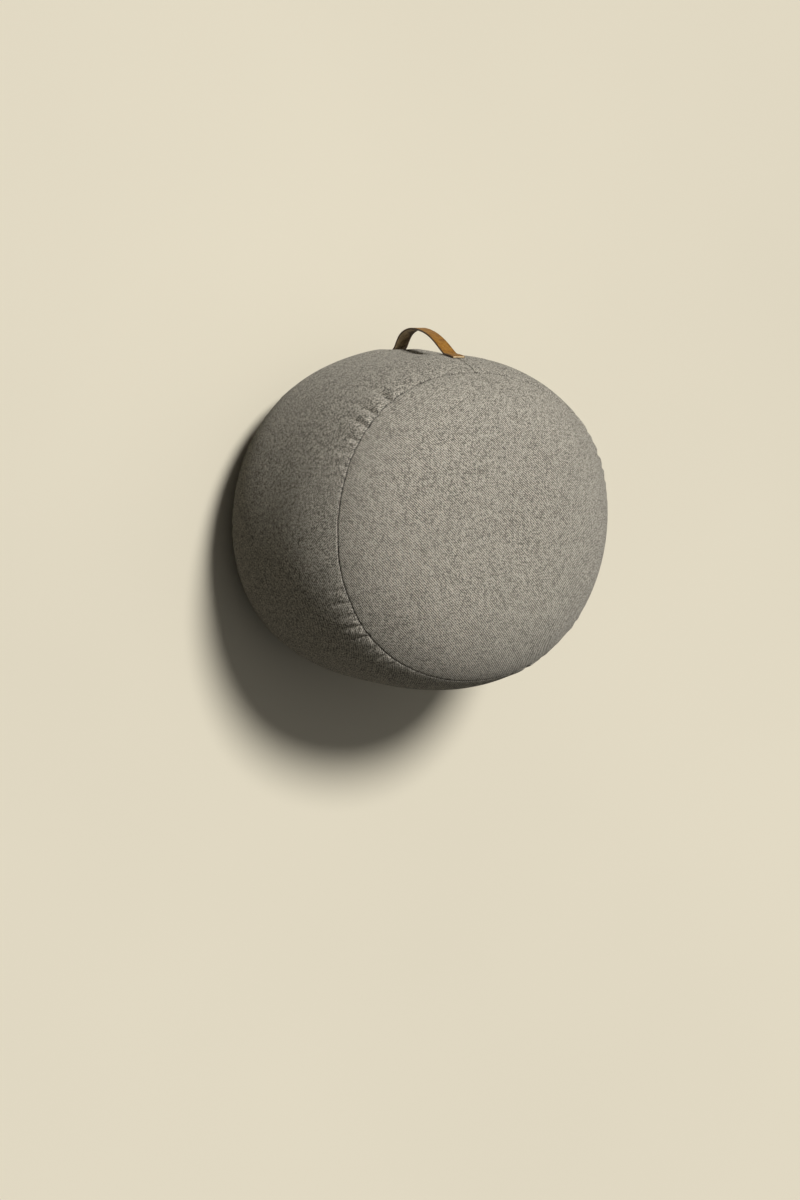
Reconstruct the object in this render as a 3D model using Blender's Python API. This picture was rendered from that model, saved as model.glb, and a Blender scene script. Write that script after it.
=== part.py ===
"""Wool pouf: a filled round seat, sewn from two round panels and a side band, with a leather strap.

The pouf stands on its base. Its axis is Z, the floor is z = 0 and the strap handle faces -Y, where the
two ends of the side band are joined. Lengths are metres. Angles around the axis start at +X.
"""

import math
from typing import NamedTuple

import bmesh
import bpy
import numpy as np
from mathutils import Vector

# Body
RADIUS = 0.250
CROWN_RISE = 0.222  # middle plane to the top of the crown
BASE_DROP = 0.190  # middle plane to the floor
SEAM_RISE = 0.147  # middle plane to either sewn seam
SIDE_POWER = 3.02  # above 2, the side is fuller than a ball's
CROWN_POWER = 3.08  # above 2, the crown is flatter than a ball's
FLAT_BLEND = 0.012  # height over which the base turns into its flat
LEAN = 0.0137  # rise of the whole body for each metre towards LEAN_TOWARDS
LEAN_TOWARDS = math.radians(193)

# Sewing
GAP = 0.0003  # between pieces that touch
SEAM_DEPTH = 0.0022
SEAM_REACH = 0.0080
JOIN_AT = math.radians(270)
JOIN_DEPTH = 0.0014
JOIN_HALF_WIDTH = 0.0050
PUCKERS = 72
PUCKER_DEPTH = 0.0026
PUCKER_START = 0.0050
PUCKER_REACH = 0.0300
PUCKER_LEVEL = 0.28  # strength of the puckers outside their groups
BASE_PUCKER_LEVEL = 0.55
PUCKER_SHAPE = (1.0, -0.30, -0.30)  # valley, then the two flanks that stand proud
REACH_VARIES = 0.25  # share by which the puckers differ in length
REACH_STEP = 2.4  # radians of that change from one pucker to the next
DEPTH_VARIES = 0.30
DEPTH_STEP = 1.7

# Strap handle
STRAP_WIDTH = 0.0220
STRAP_THICKNESS = 0.0025
STRAP_BEVEL = 0.0006
STRAP_SEAT = 0.0006  # from the band to the underside of a foot
STRAP_TWIST = 0.07  # slope by which the upper leg turns its +X edge outwards
TWIST_RISE = 0.034
TWIST_SPREAD = 0.020
STEPS_PER_SPAN = 4

# Finishes, as linear colours
WOOL = (0.33, 0.31, 0.26)
WOOL_ROUGHNESS = 0.95
LEATHER = (0.31, 0.16, 0.05)
LEATHER_ROUGHNESS = 0.50

# Mesh
COLUMNS = 3 * PUCKERS
INNER_COLUMNS = COLUMNS // 3
CENTRE_COLUMNS = INNER_COLUMNS // 3
MERIDIAN_STEPS = 2000
SHARP_EDGE = math.radians(40)


class Wave(NamedTuple):
    """Unevenness around the body. A wave that grows is nil at the middle plane and opposite below it."""

    crests: int
    share: float
    crest_at: float
    grows: bool


class Drift(NamedTuple):
    """Uneven spacing of the columns of points: how often it swings around the body, and by how much."""

    swings: int
    size: float  # radians


class Group(NamedTuple):
    """Stretch of the seam where the puckers are strong, in degrees around the axis."""

    centre: float
    spread: float
    strength: float


class Hollow(NamedTuple):
    """Soft hollow in the band on the strap's line, or a swelling if its depth is negative."""

    rise: float  # of its middle over the middle plane
    depth: float
    along: float  # spread up and down
    around: float  # spread to either side
    power: int  # 2 is bell shaped, more is flatter in the middle


class StrapPoint(NamedTuple):
    """Point on the strap's middle line: height over the middle plane and distance from the axis."""

    rise: float
    out: float


WAVES = (
    Wave(crests=2, share=0.0198, crest_at=26.0, grows=False),
    Wave(crests=3, share=0.0066, crest_at=81.0, grows=False),
    Wave(crests=4, share=0.0100, crest_at=38.5, grows=False),
    Wave(crests=1, share=0.0266, crest_at=150.0, grows=True),
    Wave(crests=2, share=0.0243, crest_at=136.5, grows=True),
)

COLUMN_DRIFTS = (Drift(swings=3, size=0.022), Drift(swings=8, size=0.010))

PUCKER_GROUPS = (
    Group(centre=321, spread=15, strength=0.72),
    Group(centre=35, spread=18, strength=0.72),
    Group(centre=205, spread=14, strength=0.50),
    Group(centre=127, spread=16, strength=0.40),
)

HOLLOWS = (
    Hollow(rise=0.0100, depth=0.0052, along=0.0320, around=0.0600, power=2),
    Hollow(rise=-0.0740, depth=-0.0042, along=0.0280, around=0.0460, power=2),
    Hollow(rise=-0.0755, depth=0.0061, along=0.0190, around=0.0185, power=4),
)

STRAP_ARCH = (
    StrapPoint(rise=-0.0590, out=0.2465),
    StrapPoint(rise=-0.0530, out=0.2550),
    StrapPoint(rise=-0.0455, out=0.2640),
    StrapPoint(rise=-0.0350, out=0.2702),
    StrapPoint(rise=-0.0200, out=0.2742),
    StrapPoint(rise=-0.0040, out=0.2745),
    StrapPoint(rise=0.0130, out=0.2718),
    StrapPoint(rise=0.0290, out=0.2673),
    StrapPoint(rise=0.0440, out=0.2607),
    StrapPoint(rise=0.0570, out=0.2533),
    StrapPoint(rise=0.0690, out=0.2455),
)
LOWER_FOOT = (-0.0865, -0.0755, -0.0655)  # heights over the middle plane, from the end to the bend
UPPER_FOOT = (0.0790, 0.0900, 0.1015)  # heights over the middle plane, from the bend to the end

# Rows of points, as distances along the surface from a seam. The rows near a seam have all the columns.
BAND_SEAM_ROWS = (0.0, 0.0025, 0.0060, 0.0110, 0.0180, 0.0270, 0.0400, 0.0560, 0.0720)
BAND_ROWS = (0.0950, 0.1250)
LOWER_BAND_ROWS = (0.1180,)
LOWER_BAND_SEAM_ROWS = (0.0960, 0.0860, 0.0760, 0.0660, 0.0560, 0.0420, 0.0260, 0.0140, 0.0070, 0.0025, 0.0)
TOP_OUTER_ROWS = (0.0, 0.0025, 0.0060, 0.0120, 0.0220)
TOP_INNER_ROWS = (0.0420, 0.0700, 0.1000, 0.1300, 0.1600)
TOP_CENTRE_ROWS = (0.1900, 0.2150)
BASE_OUTER_ROWS = (0.0, 0.0025, 0.0070)
BASE_INNER_ROWS = (0.0160, 0.0290, 0.0440, 0.0610, 0.0790, 0.1000)


def clear_scene():
    """Removes the objects of the scene that the script is run in."""
    for obj in list(bpy.data.objects):
        bpy.data.objects.remove(obj, do_unlink=True)


def material(name, colour, roughness):
    """Makes one plain finish from a linear colour."""
    finish = bpy.data.materials.new(name)
    finish.use_nodes = True
    shader = finish.node_tree.nodes["Principled BSDF"]
    shader.inputs["Base Color"].default_value = (*colour, 1.0)
    shader.inputs["Roughness"].default_value = roughness
    shader.inputs["Metallic"].default_value = 0.0
    return finish


def finish_object(name, bm, finish):
    """Turns a closed bmesh into a smooth shaded object."""
    bmesh.ops.recalc_face_normals(bm, faces=bm.faces)
    mesh = bpy.data.meshes.new(name)
    bm.to_mesh(mesh)
    bm.free()
    mesh.shade_smooth()
    mesh.set_sharp_from_angle(angle=SHARP_EDGE)
    mesh.materials.append(finish)
    obj = bpy.data.objects.new(name, mesh)
    bpy.context.scene.collection.objects.link(obj)
    return obj


def outline(turn):
    """Shares of the radius and of the crown's rise on the body's outline, -90 degrees to 90."""
    radius_share = max(math.cos(turn), 0.0) ** (2 / SIDE_POWER)
    rise_share = math.copysign(abs(math.sin(turn)) ** (2 / CROWN_POWER), turn)
    return radius_share, rise_share


def turn_at_rise(rise):
    """Turn at which the outline has this height over the middle plane."""
    share = min(abs(rise) / CROWN_RISE, 1.0)
    return math.copysign(math.asin(share ** (CROWN_POWER / 2)), rise)


def outline_lengths():
    """Turns from the middle plane to the crown, and the length of the outline up to each."""
    turns = np.linspace(0.0, math.pi / 2, MERIDIAN_STEPS)
    shares = np.array([outline(turn) for turn in turns])
    points = shares * (RADIUS, CROWN_RISE)
    steps = np.hypot(*np.diff(points, axis=0).T)
    return turns, np.concatenate(([0.0], np.cumsum(steps)))


TURNS, LENGTHS = outline_lengths()
SEAM_LENGTH = float(np.interp(turn_at_rise(SEAM_RISE), TURNS, LENGTHS))


def turn_from_seam(distance, side):
    """Turn at a distance from a seam: positive towards the crown or the base, negative onto the band."""
    return side * float(np.interp(SEAM_LENGTH + distance, LENGTHS, TURNS))


def swell(angle, rise_share):
    """Factor on the radius that makes the filled body uneven."""
    factor = 1.0
    for wave in WAVES:
        size = wave.share * (rise_share if wave.grows else 1.0)
        factor += size * math.cos(wave.crests * (angle - math.radians(wave.crest_at)))
    return factor


def settle(height):
    """Height over the floor after the body has flattened where it rests on it."""
    nearness = max(FLAT_BLEND - abs(height), 0.0) / FLAT_BLEND
    return max(height, 0.0) + nearness ** 2 * FLAT_BLEND / 4


def strap_hollows(angle, rise):
    """Depth by which the strap and its sewing shape the band."""
    if math.cos(angle - JOIN_AT) < 0.0:
        return 0.0
    sideways = abs(RADIUS * math.sin(angle - JOIN_AT))
    depth = 0.0
    for hollow in HOLLOWS:
        along = (abs(rise - hollow.rise) / hollow.along) ** hollow.power
        around = (sideways / hollow.around) ** hollow.power
        depth += hollow.depth * math.exp(-(along + around) / 2)
    return depth


def body_point(angle, turn, inset=0.0):
    """Point of the filled body, moved in by inset along the outline's normal."""
    radius_share, rise_share = outline(turn)
    normal_out = SIDE_POWER * radius_share ** (SIDE_POWER - 1) / RADIUS
    normal_up = CROWN_POWER * abs(rise_share) ** (CROWN_POWER - 1) / CROWN_RISE
    normal_length = math.hypot(normal_out, normal_up)
    rise = CROWN_RISE * rise_share
    depth = inset + strap_hollows(angle, rise)
    radius = RADIUS * radius_share - depth * normal_out / normal_length
    rise -= math.copysign(depth * normal_up / normal_length, turn)
    radius *= swell(angle, rise_share)
    rise += LEAN * radius * math.cos(angle - LEAN_TOWARDS)
    return Vector((radius * math.cos(angle), radius * math.sin(angle), settle(rise + BASE_DROP)))


def column_angle(column):
    """Angle of a column of points. The columns, and so the puckers, are unevenly spaced."""
    even = 2 * math.pi * column / COLUMNS
    return even + sum(drift.size * math.sin(drift.swings * (even - JOIN_AT)) for drift in COLUMN_DRIFTS)


def pucker_strength(angle, side):
    """How strongly the band is gathered at this angle of the upper or the lower seam."""
    if side < 0:
        return BASE_PUCKER_LEVEL
    strength = PUCKER_LEVEL
    for group in PUCKER_GROUPS:
        away = math.remainder(math.degrees(angle) - group.centre, 360) / group.spread
        strength += group.strength * math.exp(-away ** 2 / 2)
    return strength


def pucker(column, angle, distance, side):
    """Depth of the gathers beside a seam. They start at the seam and run out over the band."""
    index = column // 3
    reach = PUCKER_REACH * (1 + REACH_VARIES * math.sin(REACH_STEP * index + side))
    if distance >= reach:
        return 0.0
    fade = min(distance / PUCKER_START, 1.0) * (1 - distance / reach)
    fade *= 1 + DEPTH_VARIES * math.sin(DEPTH_STEP * index)
    return PUCKER_DEPTH * pucker_strength(angle, side) * fade * PUCKER_SHAPE[column % 3]


def seam_valley(distance):
    """Depth of the valley that a sewn seam pulls, at a distance from it."""
    nearness = max(1 - distance / SEAM_REACH, 0.0)
    return SEAM_DEPTH * nearness ** 2


def join_valley(angle):
    """Depth of the narrow valley of the seam that joins the band's two ends."""
    around = RADIUS * math.sin(angle - JOIN_AT) / JOIN_HALF_WIDTH
    return JOIN_DEPTH * math.exp(-around ** 2) if math.cos(angle - JOIN_AT) > 0 else 0.0


def band_insets(distance, side):
    """Depths of a band row beside a seam, for all its columns."""
    insets = []
    for column in range(COLUMNS):
        angle = column_angle(column)
        insets.append(seam_valley(distance) + join_valley(angle) + pucker(column, angle, distance, side))
    return insets


def panel_insets(distance, columns):
    """Depths of a panel row. Its rim follows the band's rim into the join's valley."""
    if distance > 0.0:
        return [seam_valley(distance)] * columns
    return [SEAM_DEPTH + join_valley(column_angle(column)) for column in range(COLUMNS)]


def add_ring(bm, turn, insets, lift=0.0):
    """Adds one closed row of points at even steps through the full set of columns."""
    step = COLUMNS // len(insets)
    ring = []
    for index, inset in enumerate(insets):
        point = body_point(column_angle(index * step), turn, inset)
        ring.append(bm.verts.new(point + Vector((0.0, 0.0, lift))))
    return ring


def bridge(bm, wide, narrow):
    """Joins two rings that have as many points, or of which one has three times as many."""
    if len(wide) < len(narrow):
        wide, narrow = narrow, wide
    ratio = len(wide) // len(narrow)
    for index, vertex in enumerate(narrow):
        following = narrow[(index + 1) % len(narrow)]
        first = index * ratio
        span = [wide[(first + offset) % len(wide)] for offset in range(ratio + 1)]
        if ratio == 1:
            bm.faces.new((span[0], span[1], following, vertex))
            continue
        bm.faces.new((span[0], span[1], vertex))
        bm.faces.new((span[1], span[2], following, vertex))
        bm.faces.new((span[2], span[3], following))


def close_with_point(bm, ring):
    """Closes a ring with triangles that meet at its middle."""
    middle = sum((vertex.co for vertex in ring), Vector()) / len(ring)
    centre = bm.verts.new(middle)
    for index, vertex in enumerate(ring):
        bm.faces.new((vertex, ring[(index + 1) % len(ring)], centre))


def seam_lift(distance, side):
    """Half the gap, for the rim of a piece that ends at a seam."""
    return side * GAP / 2 if distance == 0.0 else 0.0


def side_band(finish):
    """Filled drum between the two round seams."""
    rows = [(distance, 1, COLUMNS) for distance in BAND_SEAM_ROWS]
    rows += [(distance, 1, INNER_COLUMNS) for distance in (*BAND_ROWS, SEAM_LENGTH)]
    rows += [(distance, -1, INNER_COLUMNS) for distance in LOWER_BAND_ROWS]
    rows += [(distance, -1, COLUMNS) for distance in LOWER_BAND_SEAM_ROWS]
    bm = bmesh.new()
    rings = []
    for distance, side, columns in rows:
        insets = band_insets(distance, side) if columns == COLUMNS else [0.0] * columns
        rings.append(add_ring(bm, turn_from_seam(-distance, side), insets, -seam_lift(distance, side)))
    for upper, lower in zip(rings, rings[1:]):
        bridge(bm, upper, lower)
    close_with_point(bm, rings[0])
    close_with_point(bm, rings[-1])
    return finish_object("side_band", bm, finish)


def panel_rings(bm, rows, side):
    """Adds the rings of a round panel. Each row is a distance from its seam and a number of points."""
    rings = []
    for distance, columns in rows:
        insets = panel_insets(distance, columns)
        rings.append(add_ring(bm, turn_from_seam(distance, side), insets, seam_lift(distance, side)))
    for outer, inner in zip(rings, rings[1:]):
        bridge(bm, outer, inner)
    return rings


def top_panel(finish):
    """Filled crown over the upper seam."""
    bm = bmesh.new()
    rows = [(distance, COLUMNS) for distance in TOP_OUTER_ROWS]
    rows += [(distance, INNER_COLUMNS) for distance in TOP_INNER_ROWS]
    rows += [(distance, CENTRE_COLUMNS) for distance in TOP_CENTRE_ROWS]
    rings = panel_rings(bm, rows, 1)
    close_with_point(bm, rings[0])
    centre = bm.verts.new(body_point(0.0, math.pi / 2))
    for index, vertex in enumerate(rings[-1]):
        bm.faces.new((vertex, rings[-1][(index + 1) % len(rings[-1])], centre))
    return finish_object("top_panel", bm, finish)


def base_panel(finish):
    """Filled base under the lower seam, with the flat on which the pouf rests."""
    bm = bmesh.new()
    rows = [(distance, COLUMNS) for distance in BASE_OUTER_ROWS]
    rows += [(distance, INNER_COLUMNS) for distance in BASE_INNER_ROWS]
    rings = panel_rings(bm, rows, -1)
    close_with_point(bm, rings[0])
    bm.faces.new(rings[-1])
    return finish_object("base_panel", bm, finish)


def band_under_strap(rise):
    """How far out the band reaches under the strap's width, and its slope from side to side there."""
    lifted = LEAN * RADIUS * math.cos(JOIN_AT - LEAN_TOWARDS)
    turn = turn_at_rise(rise - lifted)
    spread = STRAP_WIDTH / 2 / RADIUS
    across = [body_point(JOIN_AT + spread * share, turn) for share in (-1.0, -0.5, 0.0, 0.5, 1.0)]
    slope = (across[0].y - across[-1].y) / (across[-1].x - across[0].x)
    return max(-point.y - slope * point.x for point in across), slope


def foot_points(rises):
    """Points of a foot of the strap, laid on the band at these heights over the middle plane."""
    seat = STRAP_SEAT + STRAP_THICKNESS / 2
    return [StrapPoint(rise=rise, out=band_under_strap(rise)[0] + seat) for rise in rises]


def smooth_line(points):
    """Smooth curve through all the points, with STEPS_PER_SPAN steps from each to the next."""
    before, after = 2 * points[0] - points[1], 2 * points[-1] - points[-2]
    guides = [before, *points, after]
    line = []
    for first, second, third, fourth in zip(guides, guides[1:], guides[2:], guides[3:]):
        linear = third - first
        square = 2 * first - 5 * second + 4 * third - fourth
        cube = 3 * second - first - 3 * third + fourth
        for step in range(STEPS_PER_SPAN):
            share = step / STEPS_PER_SPAN
            line.append(second + (linear * share + square * share ** 2 + cube * share ** 3) / 2)
    return [*line, points[-1]]


def strap_line():
    """Middle line of the strap as points (distance from the axis, height over the floor)."""
    guides = [*foot_points(LOWER_FOOT), *STRAP_ARCH, *foot_points(UPPER_FOOT)]
    return smooth_line([Vector((guide.out, guide.rise + BASE_DROP)) for guide in guides])


def strap_slope(rise):
    """Slope of the strap from side to side: the band's own, with a slight twist in the upper leg."""
    away = (rise - TWIST_RISE) / TWIST_SPREAD
    return band_under_strap(rise)[1] + STRAP_TWIST * math.exp(-away ** 2 / 2)


def strap_section():
    """Corners of the strap's section: across its width, and outwards from its middle line."""
    wide, thick = STRAP_WIDTH / 2, STRAP_THICKNESS / 2
    corners = []
    for across, out in ((1, -1), (1, 1), (-1, 1), (-1, -1)):
        near_edge = (across * wide, out * (thick - STRAP_BEVEL))
        near_face = (across * (wide - STRAP_BEVEL), out * thick)
        corners += [near_face, near_edge] if across * out < 0 else [near_edge, near_face]
    return corners


def handle_strap(finish):
    """Leather strap, sewn flat to the band at both ends and arched between them."""
    bm = bmesh.new()
    line = strap_line()
    section = strap_section()
    rings = []
    for index, point in enumerate(line):
        ahead = line[min(index + 1, len(line) - 1)]
        behind = line[max(index - 1, 0)]
        along = (ahead - behind).normalized()
        outwards = Vector((along.y, -along.x))
        slope = strap_slope(point.y - BASE_DROP)
        ring = []
        for across, out in section:
            place = point + outwards * out
            ring.append(bm.verts.new((across, -place.x - slope * across, place.y)))
        rings.append(ring)
    for ring, following in zip(rings, rings[1:]):
        bridge(bm, ring, following)
    bm.faces.new(rings[0])
    bm.faces.new(rings[-1])
    return finish_object("handle_strap", bm, finish)


def main():
    """Builds the pouf's four pieces."""
    clear_scene()
    top_panel(material("top_panel_wool", WOOL, WOOL_ROUGHNESS))
    side_band(material("side_band_wool", WOOL, WOOL_ROUGHNESS))
    base_panel(material("base_panel_wool", WOOL, WOOL_ROUGHNESS))
    handle_strap(material("strap_leather", LEATHER, LEATHER_ROUGHNESS))


main()
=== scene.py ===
"""Wool pouf with a leather strap handle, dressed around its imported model.

The pouf rests on its base on a plain pale floor, with its axis along Z and the strap on the -Y side. The
fabric covers are fine meshes on the same body as the model, with seams, gathers and creases, and their
weave, as well as the strap's leather, comes from procedural materials. Lengths are metres.
"""

import logging
import math
from dataclasses import dataclass, field
from enum import Enum
from typing import Sequence

import bmesh
import bpy
import numpy as np
from mathutils import Matrix, Vector

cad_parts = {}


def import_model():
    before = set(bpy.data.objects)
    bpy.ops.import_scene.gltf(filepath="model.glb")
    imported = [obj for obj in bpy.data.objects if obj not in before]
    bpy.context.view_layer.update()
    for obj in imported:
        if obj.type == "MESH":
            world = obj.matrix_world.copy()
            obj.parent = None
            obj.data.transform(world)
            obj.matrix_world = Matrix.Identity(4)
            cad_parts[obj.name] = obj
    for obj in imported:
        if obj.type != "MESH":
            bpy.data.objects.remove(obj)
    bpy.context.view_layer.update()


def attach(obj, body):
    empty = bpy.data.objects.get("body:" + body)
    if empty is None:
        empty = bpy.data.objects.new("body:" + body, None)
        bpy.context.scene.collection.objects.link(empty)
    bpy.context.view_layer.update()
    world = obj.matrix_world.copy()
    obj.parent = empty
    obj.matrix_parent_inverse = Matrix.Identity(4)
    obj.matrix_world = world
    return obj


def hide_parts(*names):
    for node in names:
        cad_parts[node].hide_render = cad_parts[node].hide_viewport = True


LOG = logging.getLogger("wool_pouf")
BODY = "root"
TAU = 2 * math.pi
UV_NAME = "weave"

Array = np.ndarray
Ring = tuple[Array, Array]


class Seam(Enum):
    """One of the two round seams. The value is the side of the middle plane it lies on."""

    TOP = 1
    BASE = -1


class Facing(Enum):
    """Which face of the strap a strip of its skin belongs to. The value is the material's place."""

    GRAIN = 0
    FLESH = 1
    EDGE = 2
    CUT = 3


@dataclass(frozen=True)
class Wave:
    """Unevenness around the body. A wave that grows is nil at the middle plane and opposite below it."""

    crests: int
    share: float
    crest_at: float
    grows: bool


@dataclass(frozen=True)
class Hollow:
    """Soft hollow in the band on the strap's line, or a swelling if its depth is negative."""

    rise: float
    depth: float
    along: float
    around: float
    power: int


@dataclass(frozen=True)
class PoufForm:
    """The filled body: a full, slightly uneven round, flat where it rests, as the model has it."""

    radius: float = 0.250
    crown_rise: float = 0.222
    base_drop: float = 0.190
    seam_rise: float = 0.147
    side_power: float = 3.02
    crown_power: float = 3.08
    flat_blend: float = 0.012
    lean: float = 0.0137
    lean_towards: float = math.radians(193)
    join_at: float = math.radians(270)
    waves: tuple[Wave, ...] = (
        Wave(2, 0.0198, 26.0, False),
        Wave(3, 0.0066, 81.0, False),
        Wave(4, 0.0100, 38.5, False),
        Wave(1, 0.0266, 150.0, True),
        Wave(2, 0.0243, 136.5, True),
    )
    hollows: tuple[Hollow, ...] = (
        Hollow(0.0100, 0.0052, 0.0320, 0.0600, 2),
        Hollow(-0.0740, -0.0042, 0.0280, 0.0460, 2),
        Hollow(-0.0755, 0.0061, 0.0190, 0.0185, 4),
    )
    lengths: Array = field(init=False, repr=False)
    turns: Array = field(init=False, repr=False)

    def __post_init__(self) -> None:
        """Measures the outline once, for turning lengths along it into turns."""
        turns = np.linspace(0.0, math.pi / 2, 4000)
        radius_share, rise_share = self.outline(turns)
        steps = np.hypot(np.diff(radius_share * self.radius), np.diff(rise_share * self.crown_rise))
        object.__setattr__(self, "turns", turns)
        object.__setattr__(self, "lengths", np.concatenate(([0.0], np.cumsum(steps))))

    def outline(self, turn: Array) -> tuple[Array, Array]:
        """Gives the body's outline.

        Args:
            turn: Angles over the middle plane, in radians.

        Returns:
            Shares of the radius and of the crown's rise.
        """
        radius_share = np.clip(np.cos(turn), 0.0, None) ** (2 / self.side_power)
        rise_share = np.sign(turn) * np.abs(np.sin(turn)) ** (2 / self.crown_power)
        return radius_share, rise_share

    def turn_at_rise(self, rise: float) -> float:
        """Gives the turn at which the outline has this height over the middle plane."""
        share = min(abs(rise) / self.crown_rise, 1.0)
        return math.copysign(math.asin(share ** (self.crown_power / 2)), rise)

    @property
    def seam_length(self) -> float:
        """Length of the outline from the middle plane to a seam."""
        return float(np.interp(self.turn_at_rise(self.seam_rise), self.turns, self.lengths))

    @property
    def crown_length(self) -> float:
        """Length of the outline from a seam to the axis."""
        return float(self.lengths[-1]) - self.seam_length

    def turn_from_seam(self, distance: Array, seam: Seam) -> Array:
        """Gives turns at distances from a seam.

        Args:
            distance: Lengths along the outline, positive towards the axis and negative onto the band.
            seam: The seam they are measured from.

        Returns:
            The turns, in radians.
        """
        return seam.value * np.interp(self.seam_length + distance, self.lengths, self.turns)

    def swell(self, angle: Array, rise_share: Array) -> Array:
        """Gives the factor on the radius that makes the filled body uneven."""
        factor = np.ones(np.broadcast(angle, rise_share).shape)
        for wave in self.waves:
            size = wave.share * (rise_share if wave.grows else 1.0)
            factor = factor + size * np.cos(wave.crests * (angle - math.radians(wave.crest_at)))
        return factor

    def strap_hollows(self, angle: Array, rise: Array) -> Array:
        """Gives the depth by which the strap and its sewing shape the band."""
        sideways = np.abs(self.radius * np.sin(angle - self.join_at))
        depth = np.zeros(np.broadcast(angle, rise).shape)
        for hollow in self.hollows:
            along = (np.abs(rise - hollow.rise) / hollow.along) ** hollow.power
            around = (sideways / hollow.around) ** hollow.power
            depth = depth + hollow.depth * np.exp(-(along + around) / 2)
        return np.where(np.cos(angle - self.join_at) > 0.0, depth, 0.0)

    def settle(self, height: Array) -> Array:
        """Gives heights over the floor after the body has flattened where it rests on it."""
        nearness = np.clip(self.flat_blend - np.abs(height), 0.0, None) / self.flat_blend
        return np.clip(height, 0.0, None) + nearness ** 2 * self.flat_blend / 4

    def points(self, angle: Array, turn: Array, inset: Array | float = 0.0) -> Array:
        """Gives points of the filled body.

        Args:
            angle: Angles around the axis.
            turn: Angles over the middle plane.
            inset: Depths by which the points move in along the outline's normal.

        Returns:
            The points, with x, y and z along the last axis.
        """
        radius_share, rise_share = self.outline(turn)
        normal_out = self.side_power * radius_share ** (self.side_power - 1) / self.radius
        normal_up = self.crown_power * np.abs(rise_share) ** (self.crown_power - 1) / self.crown_rise
        normal_length = np.hypot(normal_out, normal_up)
        rise = self.crown_rise * rise_share
        depth = inset + self.strap_hollows(angle, rise)
        radius = self.radius * radius_share - depth * normal_out / normal_length
        rise = rise - np.sign(turn) * depth * normal_up / normal_length
        radius = radius * self.swell(angle, rise_share)
        rise = rise + self.lean * radius * np.cos(angle - self.lean_towards)
        height = self.settle(rise + self.base_drop)
        return np.stack([radius * np.cos(angle), radius * np.sin(angle), height + 0 * radius], axis=-1)


@dataclass(frozen=True)
class Fold:
    """Crease that runs out from a seam. It stands at an angle in degrees and leans by its slant."""

    at: float
    depth: float
    reach: float
    width: float
    slant: float = 0.0


@dataclass(frozen=True)
class GatherZone:
    """Stretch of a seam where the fabric is gathered: its middle and spread in degrees, and its strength."""

    centre: float
    spread: float
    strength: float


@dataclass(frozen=True)
class Gathers:
    """Small folds that run out from a seam over the fabric beside it."""

    seed: int
    zones: tuple[GatherZone, ...]
    level: float
    placed: tuple[Fold, ...] = ()
    clear_of_placed: float = 4.0
    depth: float = 0.0024
    spacing: tuple[float, float] = (0.0110, 0.0230)
    reach: tuple[float, float] = (0.0200, 0.0500)
    width: tuple[float, float] = (0.0028, 0.0046)
    slant: float = 0.16
    start: float = 0.0060
    start_share: float = 0.42
    bulge: float = 0.75
    bulge_width: float = 2.2
    seam_radius: float = 0.215

    def strength(self, angle: float) -> float:
        """Gives how strongly the fabric is gathered at an angle in degrees."""
        strength = self.level
        for zone in self.zones:
            away = (angle - zone.centre + 180) % 360 - 180
            strength += zone.strength * math.exp(-((away / zone.spread) ** 2) / 2)
        return min(strength, 1.0)

    def folds(self) -> list[Fold]:
        """Gives the placed folds, and draws the others one after the other around the seam."""
        draw = np.random.default_rng(self.seed)
        folds = list(self.placed)
        at = 0.0
        while at < TAU * self.seam_radius - self.spacing[0]:
            angle = math.degrees(at / self.seam_radius)
            strength = self.strength(angle)
            depth = self.depth * strength * draw.uniform(0.45, 1.25)
            reach = draw.uniform(*self.reach) * (0.55 + 0.45 * strength)
            fold = Fold(angle, depth, reach, draw.uniform(*self.width), draw.normal(0.0, self.slant))
            near = min((abs((angle - other.at + 180) % 360 - 180) for other in self.placed), default=360.0)
            if near > self.clear_of_placed:
                folds.append(fold)
            at += draw.uniform(*self.spacing)
        return folds

    def insets(self, angle: Array, distance: float) -> Array:
        """Gives the depths of the folds.

        Args:
            angle: Angles around the axis.
            distance: Length along the surface from the seam.

        Returns:
            Depth at each angle, negative where the fabric stands proud.
        """
        total = np.zeros(angle.shape)
        start = self.start_share + (1 - self.start_share) * min(distance / self.start, 1.0)
        for fold in self.folds():
            if distance >= fold.reach:
                continue
            away = np.mod(angle - math.radians(fold.at) + math.pi, TAU) - math.pi
            across = away * self.seam_radius - fold.slant * distance
            share = distance / fold.reach
            wide = fold.width * (0.8 + 0.9 * share)
            valley = np.exp(-np.abs(across / wide) ** 1.5)
            proud = self.bulge * np.exp(-((across / (wide * self.bulge_width)) ** 2))
            total += fold.depth * start * (1 - share ** 2) ** 2 * (valley - proud)
        return total


@dataclass(frozen=True)
class SeamLine:
    """A sewn seam: a soft valley with a narrow groove, wandering a little as hand-guided sewing does."""

    seed: int
    valley: float = 0.0005
    valley_reach: float = 0.0040
    groove: float = 0.0024
    groove_reach: float = 0.00065
    wander: float = 0.00045
    wander_reach: float = 0.020
    gap: float = 0.0003

    def insets(self, distance: float) -> float:
        """Gives the depth of the seam's valley and groove at a distance from it."""
        nearness = max(1 - distance / self.valley_reach, 0.0)
        return self.valley * nearness ** 2 + self.groove * math.exp(-((distance / self.groove_reach) ** 2))

    def drift(self, angle: Array, distance: float) -> Array:
        """Gives how far the seam's line wanders towards the axis, fading with distance from it."""
        draw = np.random.default_rng(self.seed)
        total = np.zeros(angle.shape)
        for swings in (9, 17, 31, 53, 84):
            size = draw.uniform(0.5, 1.0) * (9 / swings) ** 0.35
            total += size * np.sin(swings * angle + draw.uniform(0, TAU))
        return self.wander * total * math.exp(-distance / self.wander_reach)


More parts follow.
